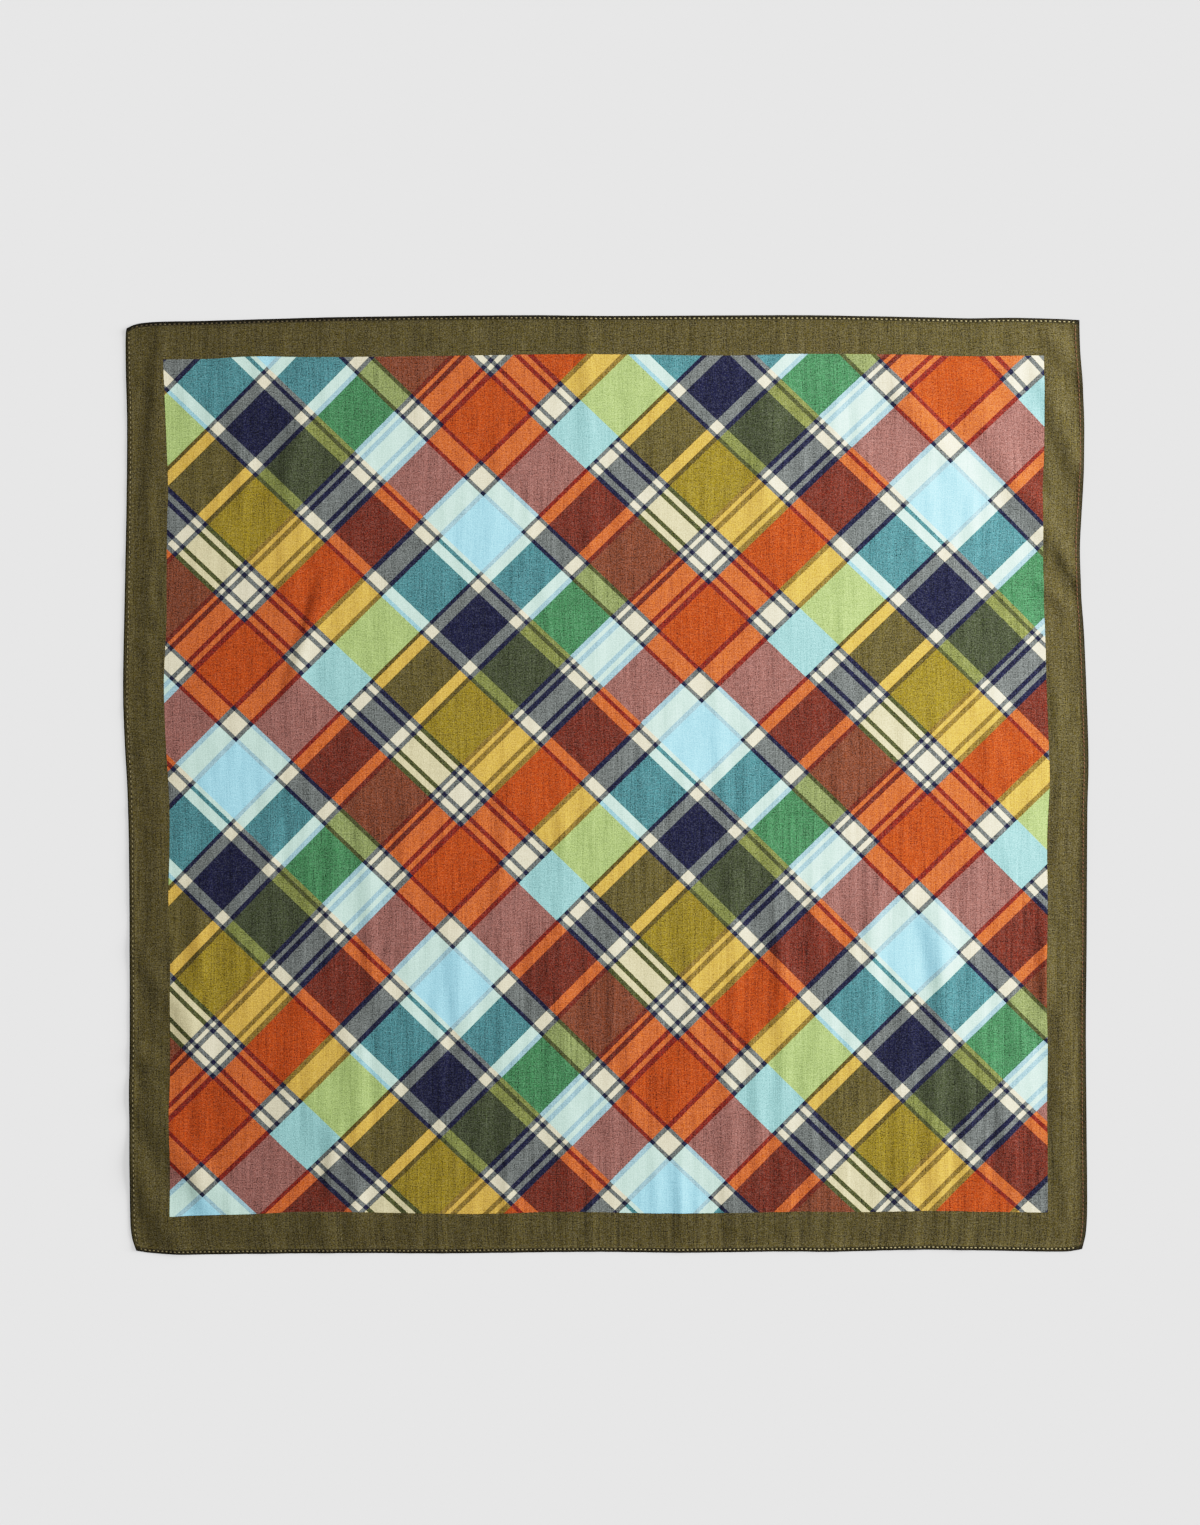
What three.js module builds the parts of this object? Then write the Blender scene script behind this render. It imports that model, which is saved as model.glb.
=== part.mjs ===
// Square cotton bandana, spread out on a flat surface.
// Millimetres, +Z up, +X to the right and +Y to the top of the printed face.
// Origin: centre of the underside, in the plane that the cloth rests on.
//
// One cut square with its own narrow rolled hem. The sheet is a grid between
// four bowed sides; its underside lies in the plane z = 0 except where a soft
// fold lifts it.

import * as THREE from 'three';

// ---- driving sizes ---------------------------------------------------------
const HALF_WIDTH = 275;     // nominal side lines, before the bow of each side
const HALF_HEIGHT = 269;
const CLOTH = 1.0;          // sheet thickness of the solid
const HEM_WIDE = 3.6;       // rolled hem, from the edge inwards
const HEM_THICK = 1.8;
const HEM_LIP = 1.0;        // the roll rounds off over this much at its rim
const HEM_RIM = 1.2;        // height of the rim itself
const HEM_STEP = 0.8;       // slope from the hem down to the sheet
const COLUMNS = 60;         // grid cells inside the hem
const ROWS = 30;

// ---- outline ---------------------------------------------------------------
// How far each side strays outwards from its nominal line, section by section.
// The first and last section of a side are the corners it shares.
const LEFT_SIDE = [
  { y: 262.2, out: 0.5 }, { y: 257.6, out: 1.0 }, { y: 238.1, out: 0.9 },
  { y: 209.3, out: 0.2 }, { y: 163.4, out: 0.5 }, { y: 111.6, out: 1.5 },
  { y: 54.2, out: 2.5 }, { y: 25.4, out: 1.6 }, { y: -3.3, out: 0.0 },
  { y: -37.8, out: -0.9 }, { y: -95.3, out: -1.3 }, { y: -152.7, out: -1.3 },
  { y: -175.7, out: -1.0 }, { y: -221.7, out: -1.4 }, { y: -251.6, out: -1.7 },
  { y: -260.8, out: -2.8 }, { y: -267.7, out: -5.2 },
];
const RIGHT_SIDE = [
  { y: 267.1, out: -2.9 }, { y: 249.6, out: -2.4 }, { y: 226.6, out: -0.8 },
  { y: 203.6, out: 0.0 }, { y: 169.1, out: -0.9 }, { y: 134.6, out: -2.6 },
  { y: 111.6, out: -2.0 }, { y: 88.6, out: -0.3 }, { y: 54.2, out: 1.2 },
  { y: 13.9, out: 2.4 }, { y: -14.8, out: 1.7 }, { y: -95.3, out: 1.3 },
  { y: -141.2, out: 0.9 }, { y: -198.7, out: 1.3 }, { y: -244.7, out: 1.6 },
  { y: -258.5, out: 0.7 }, { y: -266.8, out: -1.4 },
];
const TOP_SIDE = [
  { x: -275.5, out: -6.8 }, { x: -269.8, out: -4.3 }, { x: -260.6, out: -3.1 },
  { x: -233.0, out: -2.4 }, { x: -204.3, out: -1.6 }, { x: -169.8, out: -0.6 },
  { x: -135.3, out: 0.1 }, { x: -43.4, out: 0.9 }, { x: -3.1, out: 0.5 },
  { x: 111.8, out: 0.9 }, { x: 146.3, out: 0.4 }, { x: 186.5, out: -0.4 },
  { x: 209.5, out: -0.9 }, { x: 232.5, out: -0.6 }, { x: 261.2, out: -1.3 },
  { x: 272.1, out: -1.9 },
];
const BOTTOM_SIDE = [
  { x: -269.8, out: -1.3 }, { x: -261.7, out: 0.0 }, { x: -244.5, out: 0.9 },
  { x: -204.3, out: 0.6 }, { x: -146.8, out: 0.1 }, { x: -89.3, out: 0.3 },
  { x: -8.9, out: -0.6 }, { x: 42.8, out: -0.1 }, { x: 106.1, out: -0.8 },
  { x: 129.0, out: -0.6 }, { x: 180.8, out: -1.8 }, { x: 221.0, out: -1.3 },
  { x: 255.5, out: -0.7 }, { x: 265.8, out: -0.9 }, { x: 273.6, out: -2.2 },
];

// ---- folds -----------------------------------------------------------------
// Soft ridges from a to b. bow carries the middle of the crest to the left of
// the way from a to b; wide is the foot of the ridge, high its crest.
const FOLDS = [
  { name: 'left border bank', ax: -250, ay: 270, bx: -266, by: 122, bow: 0, wide: 18, high: 1.1 },
  { name: 'left border bank, top', ax: -254, ay: 276, bx: -262, by: 188, bow: 0, wide: 16, high: 1.5 },
  { name: 'upper left wave', ax: -207, ay: 266, bx: -218, by: 146, bow: 0, wide: 20, high: 0.6 },
  { name: 'upper left crease', ax: -168, ay: 223, bx: -184, by: 151, bow: 0, wide: 20, high: 2.2 },
  { name: 'long left crease', ax: -152, ay: 136, bx: -186, by: 30, bow: -1.5, wide: 18, high: 1.8 },
  { name: 'top ripple, middle', ax: -11, ay: 300, bx: -11, by: 110, bow: 0, wide: 16, high: 0.6 },
  { name: 'upper right ripple', ax: 92, ay: 247, bx: 92, by: 123, bow: 0, wide: 24, high: 1.4 },
  { name: 'upper right ripple, outer', ax: 132, ay: 274, bx: 132, by: 116, bow: 0, wide: 17, high: 0.5 },
  { name: 'corner diagonal, inner', ax: 158, ay: 247, bx: 212, by: 163, bow: 0, wide: 26, high: 1.4 },
  { name: 'corner diagonal, long', ax: 197, ay: 248, bx: 273, by: 106, bow: 0, wide: 24, high: 1.2 },
  { name: 'right border diagonal, top', ax: 248, ay: 267, bx: 284, by: 219, bow: 0, wide: 17, high: 1.3 },
  { name: 'right border diagonal, middle', ax: 245, ay: 252, bx: 279, by: 158, bow: 0, wide: 20, high: 1.7 },
  { name: 'right border pinch', ax: 213, ay: 199, bx: 291, by: 99, bow: 0, wide: 24, high: 2.2 },
  { name: 'right curve', ax: 202, ay: 78, bx: 236, by: -16, bow: 0, wide: 20, high: 0.8 },
  { name: 'right border wave, middle', ax: 260, ay: 84, bx: 260, by: 8, bow: 0, wide: 17, high: 1.1 },
  { name: 'right border ridge', ax: 253, ay: -62, bx: 253, by: -140, bow: 0, wide: 17, high: 2.4 },
  { name: 'right border bank, low', ax: 262, ay: -100, bx: 262, by: -260, bow: 0, wide: 19, high: 1.7 },
  { name: 'lower right ridge', ax: 188, ay: -42, bx: 198, by: -174, bow: 0, wide: 33, high: 3.4 },
  { name: 'lower right ridge, foot', ax: 190, ay: -112, bx: 189, by: -274, bow: 0, wide: 19, high: 1.6 },
  { name: 'lower right ridge, outer', ax: 205, ay: -66, bx: 221, by: -254, bow: 0, wide: 19, high: 1.5 },
  { name: 'lower right ripple', ax: 173, ay: -92, bx: 173, by: -290, bow: 0, wide: 20, high: 0.9 },
  { name: 'bottom right ripple', ax: 236, ay: -116, bx: 230, by: -252, bow: 0, wide: 22, high: 1.6 },
  { name: 'lower ripple, right of middle', ax: 155, ay: -36, bx: 155, by: -234, bow: 0, wide: 16, high: 0.6 },
  { name: 'lower middle ridge', ax: 101, ay: -60, bx: 101, by: -166, bow: 0, wide: 28, high: 2.3 },
  { name: 'lower middle ridge, foot', ax: 103, ay: -126, bx: 103, by: -288, bow: 0, wide: 17, high: 0.8 },
  { name: 'bottom ripple, right', ax: 73, ay: -34, bx: 73, by: -276, bow: 0, wide: 18, high: 1.0 },
  { name: 'bottom ripple, middle', ax: 53, ay: -134, bx: 33, by: -208, bow: 0, wide: 24, high: 0.8 },
  { name: 'middle ripple', ax: -1, ay: -34, bx: 21, by: -232, bow: 0, wide: 26, high: 1.1 },
  { name: 'middle ripple, left', ax: -28, ay: -38, bx: -24, by: -236, bow: 0, wide: 24, high: 0.8 },
  { name: 'lower left ripple', ax: -84, ay: -30, bx: -84, by: -188, bow: 0, wide: 20, high: 0.9 },
  { name: 'lower left ripple, outer', ax: -135, ay: -24, bx: -135, by: -148, bow: 0, wide: 17, high: 0.7 },
  { name: 'lower left ripple, far', ax: -171, ay: -82, bx: -171, by: -216, bow: 0, wide: 18, high: 0.9 },
  { name: 'bottom ripple, far left', ax: -144, ay: -128, bx: -144, by: -286, bow: 0, wide: 20, high: 1.2 },
  { name: 'bottom border wave, left', ax: -169, ay: -236, bx: -155, by: -276, bow: 0, wide: 24, high: 1.7 },
  { name: 'left inner ripple', ax: -246, ay: -99, bx: -230, by: -181, bow: 0, wide: 22, high: 1.3 },
  { name: 'left border wave, middle', ax: -279, ay: -80, bx: -227, by: -158, bow: 0, wide: 20, high: 0.9 },
  { name: 'left border pinch', ax: -273, ay: -144, bx: -255, by: -170, bow: 0, wide: 20, high: 1.4 },
  { name: 'left border wave, low', ax: -284, ay: -160, bx: -208, by: -258, bow: 0, wide: 30, high: 1.8 },
  { name: 'bottom left corner wave', ax: -287, ay: -190, bx: -231, by: -294, bow: 0, wide: 26, high: 2.0 },
];

// ---- helpers ---------------------------------------------------------------
// Smooth curve through the rows of a table: key is the column walked along.
function along(table, key, at) {
  const up = table[0][key] < table[table.length - 1][key];
  const rows = up ? table : [...table].reverse();
  const last = rows.length - 1;
  let i = 0;
  while (i < last - 1 && at > rows[i + 1][key]) i += 1;
  const slope = (j) => {
    const lo = rows[Math.max(0, j - 1)];
    const hi = rows[Math.min(last, j + 1)];
    return (hi.out - lo.out) / (hi[key] - lo[key]);
  };
  const a = rows[i];
  const b = rows[i + 1];
  const step = b[key] - a[key];
  const t = Math.min(1, Math.max(0, (at - a[key]) / step));
  const t2 = t * t;
  const t3 = t2 * t;
  return (2 * t3 - 3 * t2 + 1) * a.out + (t3 - 2 * t2 + t) * step * slope(i)
    + (3 * t2 - 2 * t3) * b.out + (t3 - t2) * step * slope(i + 1);
}

const mix = (a, b, t) => a + (b - a) * t;
const first = (table) => table[0];
const final = (table) => table[table.length - 1];

function leftPoint(t) {
  const y = mix(first(LEFT_SIDE).y, final(LEFT_SIDE).y, t);
  return [-HALF_WIDTH - along(LEFT_SIDE, 'y', y), y];
}
function rightPoint(t) {
  const y = mix(first(RIGHT_SIDE).y, final(RIGHT_SIDE).y, t);
  return [HALF_WIDTH + along(RIGHT_SIDE, 'y', y), y];
}
function topPoint(s) {
  const x = mix(first(TOP_SIDE).x, final(TOP_SIDE).x, s);
  return [x, HALF_HEIGHT + along(TOP_SIDE, 'x', x)];
}
function bottomPoint(s) {
  const x = mix(first(BOTTOM_SIDE).x, final(BOTTOM_SIDE).x, s);
  return [x, -HALF_HEIGHT - along(BOTTOM_SIDE, 'x', x)];
}

// Place in the sheet: s runs left to right, t top to bottom, both 0 to 1.
function place(s, t) {
  const l = leftPoint(t);
  const r = rightPoint(t);
  const u = topPoint(s);
  const d = bottomPoint(s);
  const lu = leftPoint(0);
  const ru = rightPoint(0);
  const ld = leftPoint(1);
  const rd = rightPoint(1);
  return [0, 1].map((i) => mix(l[i], r[i], s) + mix(u[i], d[i], t)
    - mix(mix(lu[i], ru[i], s), mix(ld[i], rd[i], s), t));
}

// Height of the underside over the surface.
function lift(x, y) {
  let z = 0;
  for (const f of FOLDS) {
    const dx = f.bx - f.ax;
    const dy = f.by - f.ay;
    const long = Math.hypot(dx, dy);
    const p = ((x - f.ax) * dx + (y - f.ay) * dy) / (long * long);
    if (p <= 0 || p >= 1) continue;
    const side = (-(x - f.ax) * dy + (y - f.ay) * dx) / long;
    const off = Math.abs(side - f.bow * 4 * p * (1 - p)) / (f.wide / 2);
    if (off >= 1) continue;
    const ends = Math.min(1, Math.min(p, 1 - p) / 0.3);
    z = Math.max(z, f.high * Math.cos(off * Math.PI / 2) ** 2 * Math.sin(ends * Math.PI / 2) ** 2);
  }
  return z;
}

// Thickness by the distance in from the nearest edge.
function thickness(inwards) {
  if (inwards < HEM_LIP) return mix(HEM_RIM, HEM_THICK, inwards / HEM_LIP);
  if (inwards <= HEM_WIDE) return HEM_THICK;
  return mix(HEM_THICK, CLOTH, Math.min(1, (inwards - HEM_WIDE) / HEM_STEP));
}

// Grid lines from edge to edge, in mm, with the hem's own lines at both ends.
function lines(span, cells) {
  const hem = [0, HEM_LIP, HEM_WIDE, HEM_WIDE + HEM_STEP];
  const inner = span - 2 * hem[3];
  const list = hem.slice(0, 3);
  for (let i = 0; i <= cells; i += 1) list.push(hem[3] + inner * i / cells);
  return [...list, ...hem.slice(0, 3).reverse().map((h) => span - h)];
}

// ---- the sheet -------------------------------------------------------------
function bandanaGeometry() {
  const across = lines(2 * HALF_WIDTH, COLUMNS);
  const down = lines(2 * HALF_HEIGHT, ROWS);
  const nx = across.length;
  const ny = down.length;
  const position = [];
  for (const layer of [0, 1]) {
    for (let j = 0; j < ny; j += 1) {
      for (let i = 0; i < nx; i += 1) {
        const [x, y] = place(across[i] / (2 * HALF_WIDTH), down[j] / (2 * HALF_HEIGHT));
        const inwards = Math.min(across[i], 2 * HALF_WIDTH - across[i],
          down[j], 2 * HALF_HEIGHT - down[j]);
        position.push(x, y, lift(x, y) + layer * thickness(inwards));
      }
    }
  }
  const at = (layer, i, j) => layer * nx * ny + j * nx + i;
  const index = [];
  const quad = (a, b, c, d) => index.push(a, b, c, a, c, d);
  for (let j = 0; j < ny - 1; j += 1) {
    for (let i = 0; i < nx - 1; i += 1) {
      quad(at(1, i, j), at(1, i, j + 1), at(1, i + 1, j + 1), at(1, i + 1, j));
      quad(at(0, i, j), at(0, i + 1, j), at(0, i + 1, j + 1), at(0, i, j + 1));
    }
  }
  for (let i = 0; i < nx - 1; i += 1) {
    quad(at(0, i, 0), at(1, i, 0), at(1, i + 1, 0), at(0, i + 1, 0));
    quad(at(0, i + 1, ny - 1), at(1, i + 1, ny - 1), at(1, i, ny - 1), at(0, i, ny - 1));
  }
  for (let j = 0; j < ny - 1; j += 1) {
    quad(at(0, 0, j + 1), at(1, 0, j + 1), at(1, 0, j), at(0, 0, j));
    quad(at(0, nx - 1, j), at(1, nx - 1, j), at(1, nx - 1, j + 1), at(0, nx - 1, j + 1));
  }
  const geometry = new THREE.BufferGeometry();
  geometry.setAttribute('position', new THREE.Float32BufferAttribute(position, 3));
  geometry.setIndex(index);
  geometry.computeBoundingBox();
  const box = geometry.boundingBox;
  geometry.translate(-(box.min.x + box.max.x) / 2, -(box.min.y + box.max.y) / 2, 0);
  geometry.computeVertexNormals();
  return geometry;
}

const bandana = new THREE.Mesh(bandanaGeometry(), new THREE.MeshStandardMaterial({
  name: 'bandana', color: new THREE.Color(0.4, 0.36, 0.21), roughness: 0.92, metalness: 0,
}));
bandana.name = 'bandana';

const part = new THREE.Group();
part.name = 'part';
part.add(bandana);

export default part;
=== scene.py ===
import math

import bpy
import numpy as np
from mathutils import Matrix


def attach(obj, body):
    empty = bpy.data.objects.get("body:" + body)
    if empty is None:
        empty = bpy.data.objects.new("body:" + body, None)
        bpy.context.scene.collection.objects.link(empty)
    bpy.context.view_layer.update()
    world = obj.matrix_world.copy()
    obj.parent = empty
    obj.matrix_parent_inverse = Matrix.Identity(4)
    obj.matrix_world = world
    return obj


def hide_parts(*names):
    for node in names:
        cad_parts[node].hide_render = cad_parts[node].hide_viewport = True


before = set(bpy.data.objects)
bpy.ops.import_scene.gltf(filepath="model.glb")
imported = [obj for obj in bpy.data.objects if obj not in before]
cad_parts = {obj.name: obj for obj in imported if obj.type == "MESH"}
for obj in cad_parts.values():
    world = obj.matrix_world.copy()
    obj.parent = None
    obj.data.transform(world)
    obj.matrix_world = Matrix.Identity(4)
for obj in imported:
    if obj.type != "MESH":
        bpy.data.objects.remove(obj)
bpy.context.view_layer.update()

# Square cotton bandana, printed with a bias plaid and an olive border, spread
# out on a flat surface. Sizes are in millimetres until a mesh is made.

MM = 0.001

# ---- the sheet ---------------------------------------------------------------
HALF_WIDTH, HALF_HEIGHT = 275.0, 269.0   # nominal side lines
CLOTH = 0.36                             # one layer of fine cotton
# Rolled hem across its width: in = distance from the edge, top and under = the
# heights of its two faces while it lies flat.
HEM = [
    dict(inw=0.0, top=0.62, under=0.40), dict(inw=0.3, top=0.92, under=0.14),
    dict(inw=0.8, top=1.06, under=0.02), dict(inw=1.5, top=1.02, under=0.0),
    dict(inw=2.1, top=1.00, under=0.0), dict(inw=2.7, top=0.94, under=0.0),
    dict(inw=3.3, top=0.74, under=0.0), dict(inw=3.8, top=0.54, under=0.0),
    dict(inw=4.4, top=CLOTH, under=0.0),
]
CELLS_X, CELLS_Y = 252, 246              # inside the hem, both even
# The line of machine stitches on each side: how far in, how much that wanders,
# the pitch and how pale the thread shows.
STITCHES = {
    "left": (2.2, 0.25, 2.9, 0.34), "top": (1.75, 0.12, 2.7, 1.0),
    "right": (2.6, 0.15, 2.5, 0.22), "bottom": (1.65, 0.12, 2.45, 1.0),
}
STITCH_FIRST = 2.2

# How far each side strays outwards from its nominal line: (place, out).
LEFT_SIDE = [
    (262.2, 0.5), (257.6, 1.0), (238.1, 0.9), (209.3, 0.2), (163.4, 0.5), (111.6, 1.5),
    (54.2, 2.5), (25.4, 1.6), (-3.3, 0.0), (-37.8, -0.9), (-95.3, -1.3), (-152.7, -1.3),
    (-175.7, -1.0), (-221.7, -1.4), (-251.6, -1.7), (-260.8, -2.8), (-267.7, -5.2),
]
RIGHT_SIDE = [
    (267.1, -2.9), (249.6, -2.4), (226.6, -0.8), (203.6, 0.0), (169.1, -0.9), (134.6, -2.6),
    (111.6, -2.0), (88.6, -0.3), (54.2, 1.2), (13.9, 2.4), (-14.8, 1.7), (-95.3, 1.3),
    (-141.2, 0.9), (-198.7, 1.3), (-244.7, 1.6), (-258.5, 0.7), (-266.8, -1.4),
]
TOP_SIDE = [
    (-275.5, -6.8), (-269.8, -4.3), (-260.6, -3.1), (-233.0, -2.4), (-204.3, -1.6),
    (-169.8, -0.6), (-135.3, 0.1), (-43.4, 0.9), (-3.1, 0.5), (111.8, 0.9), (146.3, 0.4),
    (186.5, -0.4), (209.5, -0.9), (232.5, -0.6), (261.2, -1.3), (272.1, -1.9),
]
BOTTOM_SIDE = [
    (-269.8, -1.3), (-261.7, 0.0), (-244.5, 0.9), (-204.3, 0.6), (-146.8, 0.1), (-89.3, 0.3),
    (-8.9, -0.6), (42.8, -0.1), (106.1, -0.8), (129.0, -0.6), (180.8, -1.8), (221.0, -1.3),
    (255.5, -0.7), (265.8, -0.9), (273.6, -2.2),
]

# The printed panel inside the plain border: (place along the side, its line).
PANEL_LEFT = [
    (-247.6, -250.5), (-215.9, -250.5), (-187.2, -251.1), (-170, -250.5), (-129.7, -250.4),
    (-101, -250.4), (-66.5, -251.4), (-37.8, -250.7), (-9.1, -250.9), (31.2, -253.2),
    (59.9, -253.9), (94.4, -252.4), (117.4, -252.4), (151.9, -252.1), (169.1, -251.5),
    (192.1, -252.2), (236.9, -254.0), (245.5, -254.2),
]
PANEL_RIGHT = [
    (-245.3, 253.8), (-215.9, 253.8), (-181.5, 253.4), (-147, 253.7), (-112.5, 252.9),
    (-66.5, 253.8), (-32, 253.4), (2.4, 254.9), (19.7, 254.5), (48.4, 253.5), (82.9, 252.4),
    (105.9, 251.6), (151.9, 250.9), (169.1, 250.9), (192.1, 251.8), (220.8, 251.8), (245.5, 251.6),
]
PANEL_TOP = [
    (-254.3, 244.3), (-227.3, 244.7), (-204.3, 246.0), (-169.8, 245.7), (-118.1, 246.1),
    (-72.1, 246.7), (-26.1, 247.4), (19.9, 247.1), (65.8, 246.6), (111.8, 247.5),
    (146.3, 247.4), (175, 247.1), (203.8, 246.2), (232.5, 246.4), (251.5, 246.6),
]
PANEL_BOTTOM = [
    (-250.8, -248.1), (-227.3, -247.1), (-204.3, -246.6), (-175.5, -245.3), (-152.6, -245.2),
    (-118.1, -246.0), (-72.1, -246.5), (-26.1, -245.3), (25.6, -246.1), (77.3, -245.9),
    (111.8, -245.2), (146.3, -245.4), (186.5, -244.7), (221, -245.3), (253.8, -245.7),
]

# ---- folds -------------------------------------------------------------------
# Soft ridges: centre, half length, full width of the foot, lean of the crest
# from straight up (positive leans right at the top) and height.
FOLDS = [
    # x, y, half, wide, lean, high
    (194, -110, 62, 26, -6, 2.1), (262, -180, 80, 19, 0, 1.6), (-246, -209, 62, 30, -38, 1.6),
    (-144, -207, 80, 20, 0, 1.2), (-259, -242, 59, 26, -28, 2), (10, -133, 100, 26, -6, 1),
    (262, 205, 50, 20, -20, 2.0), (92, 185, 62, 26, 0, 1.2), (102, -114, 50, 30, 0, 1.6),
    (185, 205, 50, 26, -33, 1.4), (190, -193, 80, 19, 0, 1), (-238, -140, 42, 22, -10, 1.1),
    (173, -188, 100, 20, 0, 0.86), (235, 177, 80, 26, -28, 1.1), (155, -135, 100, 15, 0, 0.65),
    (-26, -137, 100, 26, -1, 0.74), (209, -155, 100, 20, -6, 0.75), (73, -161, 100, 15, 0, 0.63),
    (-11, 205, 100, 15, 0, 0.6), (234, -178, 62, 20, 6, 1.1), (103, -207, 80, 16, 0, 0.73),
    (-258, 231, 44, 12, 7, 0.88), (216, -158, 50, 10, 0, 1), (-84, -108, 80, 20, 0, 0.66),
    (226, -187, 64, 20, -12, 0.81), (252, 149, 64, 26, -38, 1.2), (-135, -86, 62, 16, 0, 0.67),
    (-258, 198, 80, 20, 6, 0.62), (-115, -50, 64, 15, 0, 0.62), (253, -98, 38, 16, 0, 1.3),
    (-262, 106, 100, 11, 0, 0.44), (252, -104, 34, 11, 0, 1.2), (-170, -150, 70, 13, 0, 0.55),
    (191, -88, 34, 30, -15, 0.95), (-212, 208, 62, 21, -6, 0.59), (-179, 188, 26, 15, 14, 1.1),
    (-52, -155, 62, 14, 0, 0.57), (-264, -157, 13, 20, -38, 1.4), (219, 31, 50, 20, -20, 0.72),
    (-110, -122, 100, 15, 0, 0.41), (120, -79, 30, 20, -5, 0.91), (-235, -99, 50, 15, 0, 0.57),
    (-162, -256, 20, 26, -20, 1.7), (-178, 187, 38, 25, 12, 0.91), (88, -167, 50, 15, -5, 0.61),
    (-7, -193, 100, 9, 0, 0.43), (-253, -119, 47, 20, -33, 0.63), (132, 194, 80, 16, 0, 0.48),
    (171, -20, 78, 15, 0, 0.5), (224, -97, 100, 26, -15, 0.53), (99, -90, 60, 18, -10, 0.57),
    (188, -170, 69, 19, 2, 0.65), (71, -242, 20, 15, -5, 1), (259, 45, 30, 12, 0, 0.87),
    (-215, -222, 100, 15, 0, 0.39), (28, 195, 50, 12, 0, 0.48), (266, 243, 30, 16, -38, 1.3),
    (-160, 108, 38, 15, 25, 0.63), (72, -68, 26, 18, 0, 0.78), (-170, -153, 62, 20, -5, 0.43),
    (100, -128, 82, 14, 0, 0.41), (-258, -113, 34, 14, -45, 0.57), (-85, -112, 30, 14, 0, 0.59),
    (-34, -115, 34, 10, 5, 0.55), (74, -79, 50, 20, 0, 0.52), (43, -171, 38, 26, 16, 0.78),
    (13, -144, 56, 11, 0, 0.42), (209, -252, 62, 15, 15, 0.83), (210, -184, 24, 10, -5, 0.71),
    (-173, 80, 34, 7, 14, 0.6), (-129, -219, 100, 9, 0, 0.32), (3, -155, 100, 9, 0, 0.29),
    (-22, -175, 59, 12, 0, 0.39), (120, -229, 50, 8, 0, 0.5), (-211, -48, 47, 12, 0, 0.37),
    (137, -233, 30, 10, 0, 0.56), (-100, -75, 38, 12, 0, 0.39), (-195, -265, 62, 26, -12, 0.59),
    (40, -181, 26, 12, 5, 0.56), (260, 144, 32, 11, -12, 0.61), (-95, -162, 30, 12, 0, 0.46),
    (113, 190, 24, 10, 0, 0.55), (-8, -139, 62, 12, 0, 0.32), (-134, -104, 52, 16, -5, 0.33),
    (-20, 165, 32, 11, 5, 0.4), (-94, -212, 100, 9, 0, 0.25), (256, 110, 22, 12, -50, 0.66),
    (-183, -122, 80, 12, 0, 0.24), (270, 2, 100, 20, -12, 0.4), (246, 165, 17, 12, -45, 0.72),
    (176, -140, 40, 11, 0, 0.41), (132, -174, 26, 15, 0, 0.47), (96, 205, 26, 14, 0, 0.46),
    (-232, -237, 18, 14, -20, 0.47), (-236, -85, 40, 15, -5, 0.31), (258, 109, 16, 16, -38, 0.66),
    (4, -134, 40, 10, 0, 0.34), (-75, -249, 20, 10, 0, 0.54), (148, -252, 14, 11, 0, 0.79),
]

# Sharper creases: the crest's line from its upper end, the widths of its dark
# and lit sides and its height.
CREASES = [
    dict(crest=[(-157, 132), (-164, 114), (-171, 95), (-176, 77), (-183, 56), (-189, 34)], dark=4.4, lit=13.0, high=1.6),
    dict(crest=[(255, 143), (263, 130), (270, 117), (274, 106)], dark=4.6, lit=9.0, high=1.1),
    dict(crest=[(-178, 214), (-181, 200), (-185, 184), (-187, 172)], dark=6.0, lit=12.0, high=0.6),
    dict(crest=[(184, -68), (187, -84), (191, -104), (192, -118), (189, -136), (189, -176)], dark=7.0, lit=15.0, high=0.35),
]

# ---- light and tone ------------------------------------------------------------
EXPOSE = 1.55           # light on the middle of the cloth, over pi
GAIN = 1.085            # what the cloth's own relief shades away
VEIL = 0.006            # what its gloss adds
KEY_SHARE = 0.75        # of it from the one large lamp, the rest from all round
KEY_SIDE = (1.012, 0.429)
KEY_HIGH = 0.70
KEY_SIZE = 0.55
FLOOR_SHADE = 231       # what the floor shows, as an sRGB number
FLOOR_ALBEDO = 0.80
FLOOR_LOW_SHARE = 0.45


def linear(v):
    v = v / 255.0
    return v / 12.92 if v <= 0.04045 else ((v + 0.055) / 1.055) ** 2.4


def tone_curve():
    """Shoulder of the print: slope of log shown against log light, by what is shown."""
    shown = np.array([0.0, 0.10, 0.20, 0.40, 0.60, 0.78, 0.90, 1.0])
    slope = np.array([1.04, 1.00, 0.93, 0.80, 0.66, 0.50, 0.32, 0.20])
    y = np.concatenate([np.linspace(0.001, 0.02, 20), np.linspace(0.0205, 1.0, 1960)])
    s = np.interp(y, shown, slope)
    step = np.diff(np.log(y)) / ((s[1:] + s[:-1]) / 2)
    x = np.exp(np.concatenate([[0], np.cumsum(step)]))
    at = np.interp(0.05, y, x)
    return x * (0.05 / at), y


TONE_X, TONE_Y = tone_curve()


def light_for(shown):
    """Scene light that comes out as this display-linear value."""
    return float(np.interp(shown, TONE_Y, TONE_X))


def albedo(rgb):
    return tuple(min(0.92, max(0.004, (light_for(linear(c)) - VEIL) / EXPOSE)) for c in rgb) + (1.0,)


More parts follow.
